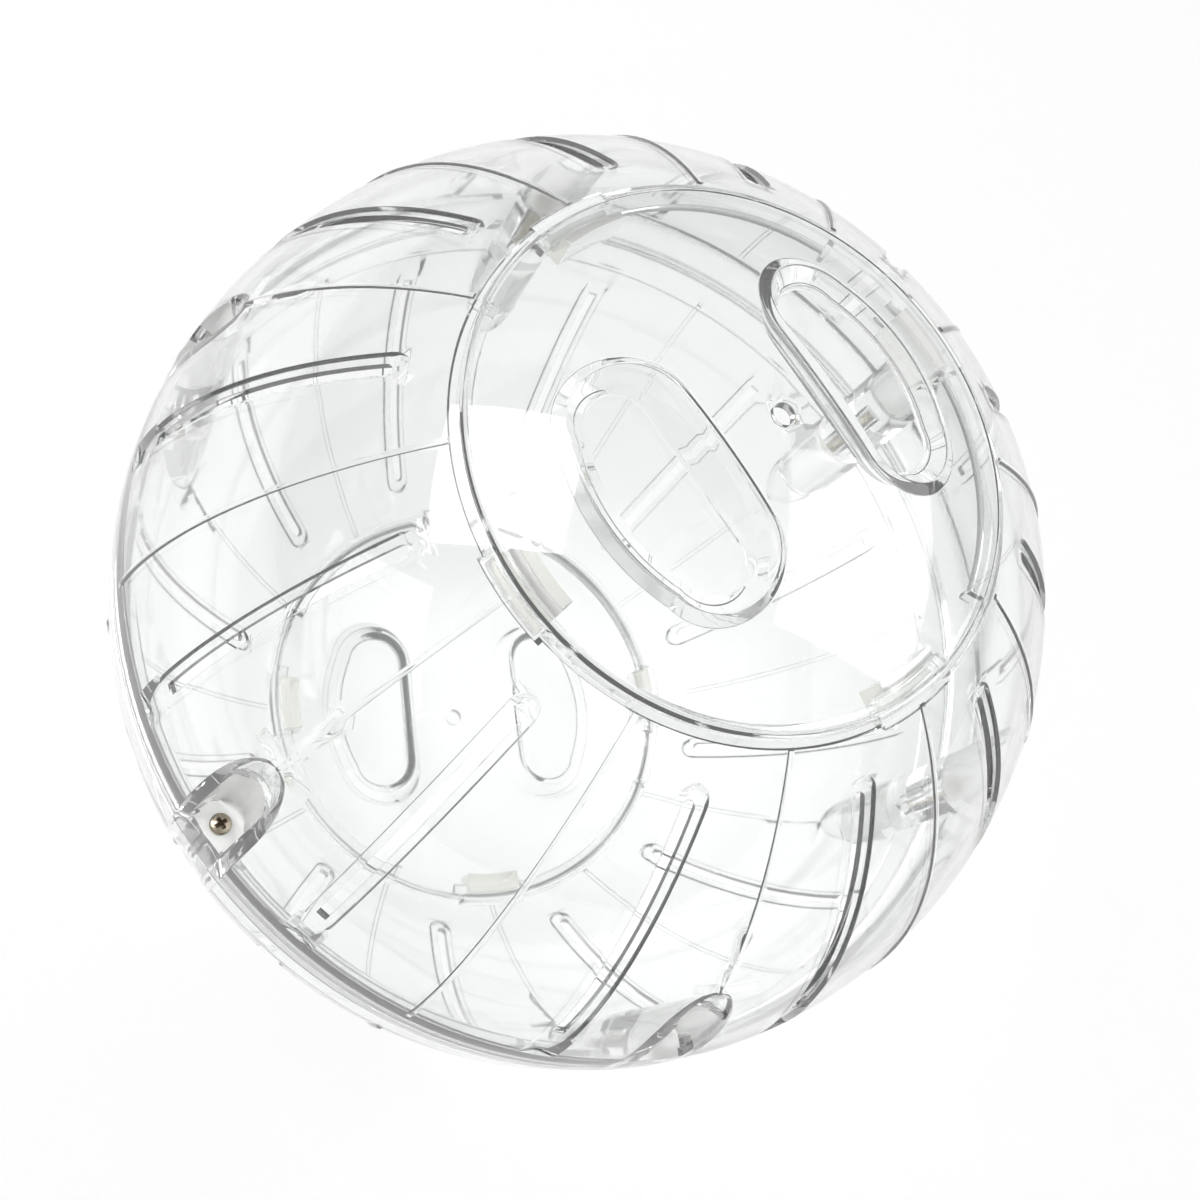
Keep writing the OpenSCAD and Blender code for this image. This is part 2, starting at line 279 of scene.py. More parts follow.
def drawn_in(plan, low, high, half):
    """Share of its full width that a bar with round ends has at a distance along it:
    a semicircle's height within each end, and a slow return to full width past it."""
    into = np.minimum(plan - low, high - plan)
    round_end = np.sqrt(np.clip(1 - (1 - np.clip(into / half, 0, 1)) ** 2, 0, 1))
    past = np.clip(-into / (1.6 * half), 0, 1)
    return np.maximum(np.where(into > 0, round_end, past), 0.05)


def boss_edge(polar):
    """Angle from its pocket's centre line at which a boss leaves the inner face: where
    two circles cross in plan, by the cosine rule."""
    plan = np.minimum(INNER_R * np.sin(polar), BALL_R - SEAM_T)
    near = (plan**2 + POCKET_AT**2 - (POCKET_R + BOSS_WALL) ** 2) / (2 * POCKET_AT * plan)
    return np.arccos(np.minimum(near, 1))


def columns(polar, pocket):
    """Angles of the columns from a rib to the next vent, for each row: one array of
    rows by columns. pocket says whether the rib ends in a screw pocket."""
    plan = (BALL_R * np.sin(polar))[:, None]
    channel = drawn_in(plan, CHANNEL_IN, CHANNEL_OUT, CHANNEL_HALF)
    vent = np.minimum(channel, drawn_in(plan * FLOOR_R / BALL_R, VENT_IN, 2 * BALL_R, VENT_HALF))
    rib = drawn_in(plan, POCKET_AT - POCKET_R, POCKET_AT + POCKET_R, POCKET_R) if pocket else 1
    if pocket:
        low = plan > np.sqrt(BALL_R**2 - POCKET_LEDGE**2)
        rib = np.where(low, SLOT_HALF * plan / (POCKET_AT * POCKET_R), rib)
    near_rib = np.arcsin(RIB_SIDE * rib / plan)
    beyond = np.arcsin(BEYOND_RIB / plan)
    if pocket:
        edge = np.maximum(boss_edge(polar)[:, None], near_rib[:, -1:] + 0.002)
        beyond = np.concatenate([edge - 0.001, edge + 0.001], axis=1)
    near_rib = np.concatenate([near_rib, beyond], axis=1)
    share = np.where(VENT_SIDE <= VENT_HALF, vent, np.where(VENT_SIDE < 3, channel, 1))
    near_vent = STEP / 2 - np.arcsin(VENT_SIDE * share / plan)
    steps = np.arange(1, BETWEEN + 1) / (BETWEEN + 1)
    middle = near_rib[:, -1:] + (near_vent[:, :1] - near_rib[:, -1:]) * steps
    return np.concatenate([near_rib, middle, near_vent], axis=1)


def all_columns(polar):
    """Azimuths round the whole shell, with each column's angles from its rib and its
    vent, and whether its rib ends in a pocket. Each half step is mirrored at the rib."""
    azimuth, from_rib, from_vent, pocket = [], [], [], []
    for rib in range(RIBS):
        half = columns(polar, rib % 2 == 0)
        both = np.concatenate([-half[:, :0:-1], half[:, :-1]], axis=1)
        azimuth.append(rib * STEP + both)
        from_rib.append(both)
        from_vent.append(STEP / 2 - np.abs(both))
        pocket.append(np.full(both.shape, rib % 2 == 0))
    return [np.concatenate(x, axis=1) for x in (azimuth, from_rib, from_vent, pocket)]


AZIMUTH, FROM_RIB, FROM_VENT, POCKET = all_columns(ROWS)
print("columns:", AZIMUTH.shape[1])

# %% [markdown]
# The rim of the mouth and the seam close the grid. Both are profiles carried round
# the axis. The rim's profile steps down from the mouth's edge to the ledge that
# the lid's clips turn under. In an entry notch the ledge's nose draws back, and at
# a stop its underside drops.

# %% Rim and seam profiles


def snapped(azimuth, edges):
    """Moves the two columns nearest to each edge onto it, a hair apart."""
    azimuth = azimuth.copy()
    hair = radians(0.03)
    for edge in edges:
        k = int(np.argmin(np.abs((azimuth - edge + pi) % (2 * pi) - pi)))
        off = (azimuth[k] - edge + pi) % (2 * pi) - pi
        other = (k + 1) % len(azimuth) if off < 0 else k - 1
        low, high = (k, other) if off < 0 else (other, k)
        azimuth[low] += (edge - hair - azimuth[low] + pi) % (2 * pi) - pi
        azimuth[high] += (edge + hair - azimuth[high] + pi) % (2 * pi) - pi
    return azimuth


LOCKED = -CLIP_HALF - STOP_GAP
OPEN = TWIST + CLIP_HALF + STOP_GAP
NOTCH = (TWIST - CLIP_HALF - STOP_GAP, OPEN)
NIB = (CLIP_HALF + STOP_GAP, CLIP_HALF + STOP_GAP + STOP_DEG)
RIM_EDGES = (LOCKED - STOP_DEG, LOCKED, *NIB, NOTCH[0], OPEN, OPEN + STOP_DEG)
RIM_AZIMUTH = snapped(AZIMUTH[0], [radians(e) + k * pi / 2 for k in range(CLIPS) for e in RIM_EDGES])


def rim_profile(azimuth):
    """Distances from the axis and heights, rows by columns: mouth wall, ledge top, nose
    and underside. Each corner has a small flat across it."""
    past = quarter(azimuth)
    notch = (past > NOTCH[0]) & (past < NOTCH[1])
    stop = ((past > LOCKED - STOP_DEG) & (past < LOCKED)) | ((past > OPEN) & (past < OPEN + STOP_DEG))
    nose = np.where(notch, MOUTH_R - 2 * EDGE, LEDGE_IN)
    nib = (past > NIB[0]) & (past < NIB[1])
    low = np.where(stop, FOOT_LOW, LEDGE_LOW - NIB_H * nib)
    same = np.ones(len(azimuth))
    edge_z = np.sqrt(BALL_R**2 - MOUTH_R**2)
    shape = [
        (same * MOUTH_R, same * (edge_z - RIM_ROUND)),
        (same * MOUTH_R, same * (LEDGE_TOP + EDGE)),
        (same * (MOUTH_R - EDGE), same * LEDGE_TOP),
        (nose + EDGE, same * LEDGE_TOP),
        (nose, same * (LEDGE_TOP - EDGE)),
        (nose, low + EDGE),
        (nose + EDGE, low),
        (same * (MOUTH_R - EDGE), low),
        (same * MOUTH_R, np.where(stop, low + EDGE, LEDGE_LOW)),
        (same * (MOUTH_R + 2 * EDGE), same * LEDGE_LOW),
    ]
    return np.array([s[0] for s in shape]), np.array([s[1] for s in shape])


def seam_profile(bore, boss, crest):
    """Distances from the axis and heights of the seam face from inside to outside. The
    crest is the height of the tongue's end, or of the groove's floor, between bosses."""
    gap = TONGUE_CLEAR if crest > 0 else 0
    same = np.ones(len(bore))
    inner = np.minimum(bore + EDGE, TONGUE_IN - 0.3)
    end = np.where(boss, SEAM_GAP, crest)
    shape = [
        (bore, same * (SEAM_GAP + EDGE)),
        (inner, same * SEAM_GAP),
        (same * (TONGUE_IN - gap - 0.02), same * SEAM_GAP),
        (same * (TONGUE_IN - gap), end),
        (same * (TONGUE_OUT + gap), end),
        (same * (TONGUE_OUT + gap + 0.02), same * SEAM_GAP),
        (same * (BALL_R - EDGE), same * SEAM_GAP),
        (same * (BALL_R - 0.01), same * (SEAM_GAP + EDGE)),
    ]
    return np.array([s[0] for s in shape]), np.array([s[1] for s in shape])


# %% [markdown]
# A half shell is one closed loop of rows: down the outer face, across the seam from
# outside to inside, up the inner face, and round the rim back to the start. The
# cells over the vents are left out on both faces, and a wall joins the two holes.

# %% Half shells


def polar_points(radius, polar, azimuth):
    """Points at a radius, a polar angle from +Z and an azimuth from +X."""
    plan = radius * np.sin(polar)
    return np.stack([plan * np.cos(azimuth), plan * np.sin(azimuth), radius * np.cos(polar)], axis=-1)


def ring_points(plan, z, azimuth):
    """Points at a distance from the axis, a height and an azimuth."""
    return np.stack([plan * np.cos(azimuth), plan * np.sin(azimuth), z], axis=-1)


def half_shell(crest):
    """Points and four-sided faces of a half shell, with its seam at height zero."""
    polar = ROWS[:, None]
    outer = polar_points(outer_face(polar, FROM_RIB, FROM_VENT, POCKET), polar, AZIMUTH)
    inside = ROWS > np.arctan((MOUTH_R + 2.5 * EDGE) / LEDGE_LOW)
    azimuth = np.where(polar < RIM_END, RIM_AZIMUTH, AZIMUTH)
    inner = polar_points(inner_face(polar, azimuth, FROM_RIB, POCKET), polar, azimuth)[inside]
    level = np.full(AZIMUTH.shape[1], pi / 2)
    bore = inner_face(level, AZIMUTH[-1], FROM_RIB[-1], POCKET[-1])
    boss = POCKET[-1] & (np.abs(FROM_RIB[-1]) < boss_edge(level))
    seam = ring_points(*seam_profile(bore, boss, crest), AZIMUTH[-1])
    rim = ring_points(*rim_profile(RIM_AZIMUTH), RIM_AZIMUTH)
    points = np.concatenate([outer, seam[::-1], inner[::-1], rim[::-1]])

    rows, cols = points.shape[:2]
    at = np.arange(rows * cols).reshape(rows, cols)
    in_vent = (FLOOR_R * np.sin(ROWS) > VENT_IN) & (FLOOR_R * np.cos(ROWS) > VENT_LOW - 0.01)
    vent_rows = np.flatnonzero(in_vent)
    top, low = vent_rows[0], vent_rows[-1]
    middle = FROM_VENT[0] < 1e-9
    slot = middle | np.roll(middle, -1)
    hole = np.zeros((rows, cols), bool)
    last = len(ROWS) + len(seam) + len(ROWS) - 1
    hole[top:low] = slot
    hole[last - low:last - top] = slot
    below, beside = np.roll(at, -1, axis=0), np.roll(at, -1, axis=1)
    faces = np.stack([at, below, np.roll(below, -1, axis=1), beside], axis=-1)[~hole]

    out, back = at[top:low + 1], at[last - np.arange(top, low + 1)]
    walls = []
    for j in np.flatnonzero(middle):
        left, right = (j - 1) % cols, (j + 1) % cols
        walls.append(np.stack([out[:-1, left], out[1:, left], back[1:, left], back[:-1, left]], axis=-1))
        walls.append(np.stack([out[1:, right], out[:-1, right], back[:-1, right], back[1:, right]], axis=-1))
        for a, b in ((left, j), (j, right)):
            walls.append([[out[-1, a], out[-1, b], back[-1, b], back[-1, a]]])
            walls.append([[out[0, b], out[0, a], back[0, a], back[0, b]]])
    return points.reshape(-1, 3), np.concatenate([faces] + walls)


def void(x, y, low, high, r, sides=32):
    """A closed upright cylinder whose faces look inward: the wall of a hole that lies
    inside a moulding."""
    turn = np.arange(sides) * 2 * pi / sides
    ring = np.stack([x + r * np.cos(turn), y + r * np.sin(turn)], axis=-1)
    points = np.concatenate([np.c_[ring, np.full(sides, low)], np.c_[ring, np.full(sides, high)],
                             [[x, y, low], [x, y, high]]])
    i = np.arange(sides)
    j = (i + 1) % sides
    side = np.stack([i, i + sides, j + sides, j], axis=-1)
    ends = np.concatenate([np.stack([np.full(sides, 2 * sides), i, j], axis=-1),
                           np.stack([np.full(sides, 2 * sides + 1), j + sides, i + sides], axis=-1)])
    return points, side, ends


def turn_over(points):
    """The half turn about the level axis at 30 degrees that maps one half to the other:
    a reflection of the plan in that axis, and of the height."""
    c, s = np.cos(pi / 3), np.sin(pi / 3)
    x, y, z = points.T
    return np.stack([c * x + s * y, s * x - c * y, -z], axis=-1)


def exact_normals(mesh):
    """Corner normals that point straight out or in along the radius, for each face whose
    corners all lie on one of the spheres, and a face's own normal where it has more than
    four corners. Zero leaves a corner to the average."""
    corners = np.empty(len(mesh.loops), int)
    mesh.loops.foreach_get("vertex_index", corners)
    points, flat = np.empty(len(mesh.vertices) * 3), np.empty(len(mesh.polygons) * 3)
    mesh.vertices.foreach_get("co", points)
    mesh.polygon_normals.foreach_get("vector", flat)
    starts, sizes = np.empty(len(mesh.polygons), int), np.empty(len(mesh.polygons), int)
    mesh.polygons.foreach_get("loop_start", starts)
    mesh.polygons.foreach_get("loop_total", sizes)
    away = points.reshape(-1, 3)[corners] / MM
    radius = np.linalg.norm(away, axis=1)
    flat = np.repeat(flat.reshape(-1, 3), sizes, axis=0)
    side = np.sign((away * flat).sum(axis=1))
    on = np.any([np.repeat(np.minimum.reduceat(np.abs(radius - r) < 0.003, starts), sizes)
                 for r in (BALL_R + RIB_H, BALL_R, FLOOR_R, INNER_R)], axis=0)
    many = np.repeat(sizes, sizes) > 4
    return np.where(many[:, None], flat, away * (side / radius * on)[:, None])


def make_piece(name, points, face_lists, material, smooth=35):
    """A mesh object from points in millimetres. Its normals are exact on the spheres,
    and elsewhere smoothed up to an angle in degrees."""
    mesh = bpy.data.meshes.new(name)
    faces = [list(map(int, face)) for part in face_lists for face in np.asarray(part).tolist()]
    mesh.from_pydata((np.asarray(points) * MM).tolist(), [], faces)
    mesh.validate()
    mesh.shade_smooth()
    mesh.set_sharp_from_angle(angle=radians(smooth))
    mesh.normals_split_custom_set(exact_normals(mesh).tolist())
    mesh.materials.append(material)
    piece = bpy.data.objects.new(name, mesh)
    bpy.context.scene.collection.objects.link(piece)
    triangles = sum(len(p.vertices) - 2 for p in mesh.polygons)
    print(name, "has", triangles, "triangles")
    return piece


def shell_piece(name, crest, over, material):
    """A half shell with the holes of its screws: clearance holes under the pockets that
    take this half's screws, and pilot holes under the others."""
    points, faces = half_shell(crest)
    all_points, quads, triangles = [points], [faces], []
    for k in range(0, RIBS, 2):
        angle = k * STEP
        own = (k // 2) % 2 == 0
        low = SEAM_GAP + HOLE_END
        high = SEAM_H - HOLE_END if own else PILOT_H
        r = SCREW_R + (SCREW_ROOM if own else PILOT_ROOM)
        start = sum(len(p) for p in all_points)
        p, side, ends = void(POCKET_AT * np.cos(angle), POCKET_AT * np.sin(angle), low, high, r)
        all_points.append(p)
        quads.append(side + start)
        triangles.append(ends + start)
    everything = np.concatenate(all_points)
    return make_piece(name, turn_over(everything) if over else everything, quads + triangles, material)


# %% [markdown]
# A lid is a shallow cap with two finger pockets and four clips. Its top and its
# underside are flat triangle nets drawn in plan, round the pockets and the pole hole,
# and lifted onto the two spheres. Loops of points carried down each pocket, down the
# hole and round the rim join them into one closed surface.

# %% Lid sizes
LID_R = MOUTH_R - 0.35
HOLE_R, LAND_R = 2.05, 4.5
LAND_Z = np.sqrt(BALL_R**2 - LAND_R**2)
GRIP_R, GRIP_HALF_LEN, GRIP_AT, GRIP_ARC = 10.0, 23.3, 23.2, 36.4
GRIP_FLOOR = LAND_Z - 9
GRIP_DRAFT = 3.0
LIP, ROOT_ROUND, FLOOR_ROUND, UNDER_ROUND = 0.4, 0.4, 0.7, 0.6
GRIP_WALL = 1.7
NET, NET_REACH = 2.0, 30
RIM_POINTS, HOLE_POINTS = 240, 32

# %% Lid surfaces


def grip_loop(grow, side, arc=30):
    """Points in plan round a finger pocket's outline, grown by a distance: a straight
    side, two end circles, and the arc round the pole that crosses them. The crossing
    comes from the cosine rule for the two radii and the distance of the centres."""
    r, big = GRIP_R + grow, GRIP_ARC + grow
    reach = GRIP_HALF_LEN - GRIP_R
    away = np.hypot(GRIP_AT, reach)
    spread = np.arctan2(reach, GRIP_AT) - np.arccos((big**2 + away**2 - r * r) / (2 * big * away))
    start = np.arctan2(big * np.sin(spread) - reach, big * np.cos(spread) - GRIP_AT)
    outer = np.linspace(-spread, spread, 2 * arc, endpoint=False)
    turn = np.linspace(start, pi, arc, endpoint=False)
    y = np.linspace(reach, -reach, arc, endpoint=False)
    loop = np.concatenate([
        np.stack([big * np.cos(outer), big * np.sin(outer)], axis=-1),
        np.stack([GRIP_AT + r * np.cos(turn), reach + r * np.sin(turn)], axis=-1),
        np.stack([np.full(arc, GRIP_AT - r), y], axis=-1),
        np.stack([GRIP_AT - r * np.cos(turn - start), -reach - r * np.sin(turn - start)], axis=-1)])
    return loop * side


def circle(r, count):
    """Points in plan round a circle, counterclockwise."""
    turn = np.arange(count) * 2 * pi / count
    return np.stack([r * np.cos(turn), r * np.sin(turn)], axis=-1)


def cap_z(plan, outside):
    """Height of the lid's outer or inner face over a point in plan, flat on the land."""
    r = BALL_R if outside else INNER_R
    z = np.sqrt(r * r - (plan**2).sum(axis=-1))
    return np.minimum(z, LAND_Z) if outside else z


def clear_of_edges(plan, rim, hole, grow):
    """Distance from a point in plan to the nearest edge of a lid's face."""
    x, y = plan.T
    r = np.hypot(x, y)
    ends = to_capsule(y, np.abs(x) - GRIP_AT, -GRIP_HALF_LEN, GRIP_HALF_LEN, GRIP_R)
    wedge = (np.abs(x) > GRIP_AT) & (np.abs(y) * GRIP_AT < np.abs(x) * (GRIP_HALF_LEN - GRIP_R))
    grips = np.where(wedge, np.minimum(ends, r - GRIP_ARC), ends) - grow
    return np.min([rim - r, r - hole, grips], axis=0)


def net(rim, hole, grow):
    """Plan points and triangles of one face: its edge loops, with a triangular lattice
    between them, joined by a constrained Delaunay triangulation."""
    loops = [circle(rim, RIM_POINTS), circle(hole, HOLE_POINTS), grip_loop(grow, 1), grip_loop(grow, -1)]
    steps = np.arange(-NET_REACH, NET_REACH + 1)
    across, up = np.meshgrid(steps, steps)
    lattice = NET * np.stack([across + 0.5 * (up % 2), up * np.sqrt(3) / 2], axis=-1).reshape(-1, 2)
    inside = lattice[clear_of_edges(lattice, rim, hole, grow) > NET / 2]
    plan = np.concatenate(loops + [inside])
    starts = np.cumsum([0] + [len(loop) for loop in loops])
    edges = [(start + i, start + (i + 1) % len(loop))
             for start, loop in zip(starts, loops) for i in range(len(loop))]
    made = delaunay_2d_cdt([Vector(p) for p in plan], edges, [], 0, 1e-5)
    plan, triangles = np.array([tuple(p) for p in made[0]]), np.array(made[2])
    keep = clear_of_edges(plan[triangles].mean(axis=1), rim, hole, grow) > 0
    return plan, triangles[keep], [np.arange(a, b) for a, b in zip(starts[:-1], starts[1:])]


def bridge(upper, lower):
    """Four-sided faces between two loops of equal length."""
    return np.stack([upper, lower, np.roll(lower, -1), np.roll(upper, -1)], axis=-1)


def carried(points, first, rows, last):
    """Adds rows of points between two loops that the mesh has, and gives the faces of
    the strip that runs through them."""
    start = sum(len(p) for p in points)
    loops = [first]
    for row in rows:
        points.append(row)
        loops.append(np.arange(start, start + len(row)))
        start += len(row)
    if last is not None:
        loops.append(last)
    return [bridge(a, b) for a, b in zip(loops[:-1], loops[1:])], loops[-1]


def at_z(plan, z):
    """Points in plan with a height, or a height each."""
    return np.column_stack([plan, np.broadcast_to(z, len(plan))])


def lid_cap():
    """Points and faces of the lid's cap: quads, triangles, and the pockets' floors."""
    top, top_tri, top_loops = net(LID_R - RIM_ROUND, HOLE_R + EDGE, LIP)
    low, low_tri, low_loops = net(LID_R - EDGE, HOLE_R + EDGE, GRIP_WALL + ROOT_ROUND)
    points = [at_z(top, cap_z(top, True)), at_z(low, cap_z(low, False))]
    low_loops = [loop + len(top) for loop in low_loops]
    faces = [top_tri, low_tri[:, ::-1] + len(top)]
    for which, r, sign in ((0, LID_R, 1), (1, HOLE_R, -1)):
        count, soft, rows = len(top_loops[which]), EDGE if which else RIM_ROUND, []
        for t in np.radians([30, 60, 90]):
            ring = circle(r - sign * soft * (1 - np.sin(t)), count)
            rows.append(at_z(ring, cap_z(ring, True) - soft * (1 - np.cos(t))))
        rows.append(at_z(circle(r, count), cap_z(circle(r, count), False) + EDGE))
        strip, _ = carried(points, top_loops[which], rows, low_loops[which])
        faces += [quad[:, ::sign] for quad in strip]
    round_turn = np.radians([18, 36, 54, 72, 90])
    for which, side in ((2, 1), (3, -1)):
        rows = []
        for t in round_turn:
            plan = grip_loop(LIP * (1 - np.sin(t)), side)
            rows.append(at_z(plan, cap_z(plan, True) - LIP * (1 - np.cos(t))))
        z = cap_z(grip_loop(0, side), True) - LIP
        for share in (0.25, 0.5, 0.75):
            wall = grip_loop(-GRIP_DRAFT * share, side)
            rows.append(at_z(wall, z + (GRIP_FLOOR + FLOOR_ROUND - z) * share))
        for t in np.concatenate([[0], round_turn]):
            plan = grip_loop(-GRIP_DRAFT - FLOOR_ROUND * (1 - np.cos(t)), side)
            rows.append(at_z(plan, GRIP_FLOOR + FLOOR_ROUND * (1 - np.sin(t))))
        strip, floor = carried(points, top_loops[which], rows, None)
        faces += [quad[:, ::-1] for quad in strip] + [floor[None, :]]
        rows = []
        for t in round_turn:
            plan = grip_loop(GRIP_WALL + ROOT_ROUND * (1 - np.sin(t)), side)
            rows.append(at_z(plan, cap_z(plan, False) - ROOT_ROUND * (1 - np.cos(t))))
        z = cap_z(grip_loop(GRIP_WALL, side), False) - ROOT_ROUND
        under = GRIP_FLOOR - WALL
        for share in (0.33, 0.67):
            wall = grip_loop(GRIP_WALL - GRIP_DRAFT * share, side)
            rows.append(at_z(wall, z + (under + UNDER_ROUND - z) * share))
        for t in np.concatenate([[0], round_turn]):
            plan = grip_loop(GRIP_WALL - GRIP_DRAFT - UNDER_ROUND * (1 - np.cos(t)), side)
            rows.append(at_z(plan, under + UNDER_ROUND * (1 - np.sin(t))))
        strip, floor = carried(points, low_loops[which], rows, None)
        faces += strip + [floor[None, ::-1]]
    return np.concatenate(points), faces


def rounded(outline, r, steps=3):
    """An outline in two dimensions with each corner cut by a short curve that starts
    and ends a distance from the corner."""
    result = []
    for i, corner in enumerate(outline):
        before, after = outline[i - 1] - corner, outline[(i + 1) % len(outline)] - corner
        start = corner + before / np.linalg.norm(before) * r
        end = corner + after / np.linalg.norm(after) * r
        for t in np.linspace(0, 1, steps):
            result.append((1 - t) ** 2 * start + 2 * t * (1 - t) * corner + t * t * end)
    return np.array(result)


def clip_block(middle):
    """Points and faces of a bayonet clip: an L in section, swept through its angle, with
    slightly smaller ends."""
    top = [np.sqrt(INNER_R**2 - r * r) - 0.02 for r in (CLIP_OUT, CLIP_IN)]
    corners = np.array([[CLIP_IN, FOOT_LOW], [FOOT_OUT, FOOT_LOW], [FOOT_OUT, FOOT_TOP],
                        [CLIP_OUT, FOOT_TOP], [CLIP_OUT, top[0]], [CLIP_IN, top[1]]])
    section = rounded(corners, 0.4)
    centre = section.mean(axis=0)
    half = radians(CLIP_HALF)
    sweep = np.concatenate([[-half], np.linspace(-half + 0.004, half - 0.004, 12), [half]])
    rows = []
    for i, angle in enumerate(sweep):
        shape = centre + (section - centre) * (0.93 if i in (0, len(sweep) - 1) else 1)
        rows.append(ring_points(shape[:, 0], shape[:, 1], middle + np.full(len(shape), angle)))
    count = len(section)
    at = np.arange(len(sweep) * count).reshape(len(sweep), count)
    faces = [bridge(a, b)[:, ::-1] for a, b in zip(at[:-1], at[1:])]
    return np.concatenate(rows), faces + [at[:1], at[-1:, ::-1]]


def lid_pieces(name, place, material, frosted):
    """The cap and the four clips of a lid, put where place moves the points."""
    points, faces = lid_cap()
    cap = make_piece(name + "_cap", place(points), faces, material)
    points, faces, start = [], [], 0
    for k in range(CLIPS):
        block, sides = clip_block(k * 2 * pi / CLIPS)
        points.append(block)
        faces += [side + start for side in sides]
        start += len(block)
    clips = make_piece(name + "_clips", place(np.concatenate(points)), faces, frosted)
    return cap, clips


def back_place(points):
    """A quarter turn, then the half turn that puts a lid on the back half."""
    x, y, z = points.T
    return turn_over(np.stack([-y, x, z], axis=-1))


# %% [markdown]
# A screw is a surface of revolution that isn't quite one. The thread is a ridge
# whose height depends on how far a point is along the helix, and the cross recess
# is a dip in the head's top.

# %% Screws
HEAD_R, HEAD_H, SCREW_LEN = 2.1, 1.5, 19.0
PITCH, CORE_R, THREAD_ROW = 0.9, 0.88, 0.1
CROSS_HALF_W, CROSS_HALF_LEN, CROSS_DEPTH = 0.36, 1.2, 0.9
CROSS_SLOPE, CROSS_TAPER, CROWN = 0.16, 0.3, 0.55
DOME = np.linspace(0.04, 0.9, 20)
HEAD_EDGE = ((0.96, 0.55), (0.99, 0.64), (1, 0.78), (1, 1.4), (0.98, 1.5), (0.62, 1.5))


def screw_points(columns=48):
    """Rows by columns of points from the middle of the head's top down to the tip: a
    domed head less the cross, its rim and underside, and a shank whose radius follows
    a triangle wave along the helix."""
    turn = np.arange(columns) * 2 * pi / columns
    rows = []
    for r in DOME * HEAD_R:
        x, y = r * np.cos(turn), r * np.sin(turn)
        arm = [np.maximum(np.abs(a) - CROSS_HALF_W, np.abs(b) - CROSS_HALF_LEN) for a, b in ((x, y), (y, x))]
        depth = CROSS_DEPTH * (1 - CROSS_TAPER * r / CROSS_HALF_LEN)
        dip = depth * np.clip(-np.minimum(*arm) / CROSS_SLOPE, 0, 1)
        dome = SEAM_H + HEAD_H - CROWN * (r / HEAD_R) ** 2
        rows.append(np.stack([x, y, dome - dip], axis=-1))
    for r, drop in HEAD_EDGE:
        ring = circle(HEAD_R * r, columns)
        rows.append(at_z(ring, SEAM_H + HEAD_H - drop + 0.01))
    for below in np.arange(0, SCREW_LEN, THREAD_ROW):
        phase = (below / PITCH + turn / (2 * pi)) % 1
        ridge = np.clip(1 - np.abs(phase - 0.5) * 5, 0, 1)
        start = np.clip((below - 1) / 0.6, 0, 1)
        point = np.clip((SCREW_LEN - below) / 1.6, 0.08, 1)
        r = (CORE_R + (SCREW_R - CORE_R) * ridge * start) * point
        rows.append(np.stack([r * np.cos(turn), r * np.sin(turn), np.full(columns, SEAM_H - below)], axis=-1))
    return np.array(rows)


def screw_piece(number, material):
    """Screw 1, 3 and 5 stand in the front half, and 2, 4 and 6 in the back half."""
    grid = screw_points()
    rows, cols = grid.shape[:2]
    points = grid.reshape(-1, 3).copy()
    crown = SEAM_H + HEAD_H - CROWN * (points[:, 0] ** 2 + points[:, 1] ** 2) / HEAD_R**2
    on_dome = np.arange(len(points)) < len(DOME) * cols
    # How far a point of the head lies down in the cross, from 0 to 1: it sets the painted shade in the
    # recess.
    depth = np.clip((crown - points[:, 2]) / CROSS_DEPTH, 0, 1) * on_dome
    if number % 2 == 0:
        points *= [1, -1, -1]
    points = np.concatenate([points, [points[:cols].mean(axis=0), points[-cols:].mean(axis=0)]])
    angle = (number - 1) * 2 * STEP
    turned = points + [POCKET_AT, 0, 0]
    x, y, z = turned.T
    c, s = np.cos(angle), np.sin(angle)
    placed = np.stack([c * x - s * y, s * x + c * y, z], axis=-1)
    at = np.arange(rows * cols).reshape(rows, cols)
    faces = np.concatenate([bridge(a, b) for a, b in zip(at[:-1], at[1:])])
    top, tip = at[0], at[-1]
    ends = np.concatenate([np.stack([np.full(cols, rows * cols), top, np.roll(top, -1)], axis=-1),
                           np.stack([np.full(cols, rows * cols + 1), np.roll(tip, -1), tip], axis=-1)])
    piece = make_piece(f"screw_{number}_body", placed, [faces, ends], material, smooth=40)
    # This attribute carries painted shade: the nickel's colour goes dark where a point lies deep in the cross
    # recess.
    recess = piece.data.attributes.new("recess", "FLOAT", "POINT")
    recess.data.foreach_set("value", np.append(depth, [1, 0]).astype(np.float32))
    return piece


# %% [markdown]
# Materials are node trees. Arithmetic on a Value makes the maths nodes, and one
# method of Recipe makes every other node. Clear plastic is a smooth refracting
# surface with a trace of green, moulding waves and fine wear. It lets light
# straight through for shadows, so that its shadow stays soft and pale. The clips and
# the lower parts of the screw pockets are satin: rougher, and a little less clear.

# %% Material tools


class Value:
    """A number that a shader works out at each point. Sums and products of values, or
    of a value and a plain number, are maths nodes."""

    def __init__(self, tree, socket):
        self.tree, self.socket = tree, socket

    def maths(self, operation, *parts):
        """A maths node, with values linked in and plain numbers set on its sockets."""
        node = self.tree.nodes.new("ShaderNodeMath")
        node.operation = operation
        for place, part in enumerate(parts):
            if isinstance(part, Value):
                self.tree.links.new(part.socket, node.inputs[place])
            else:
                node.inputs[place].default_value = part
        return Value(self.tree, node.outputs[0])

    def __add__(self, other):
        return self.maths("ADD", self, other)

    def __radd__(self, other):
        return self.maths("ADD", other, self)

    def __sub__(self, other):
        return self.maths("SUBTRACT", self, other)

    def __rsub__(self, other):
        return self.maths("SUBTRACT", other, self)

    def __mul__(self, other):
        return self.maths("MULTIPLY", self, other)

    def __rmul__(self, other):
        return self.maths("MULTIPLY", other, self)


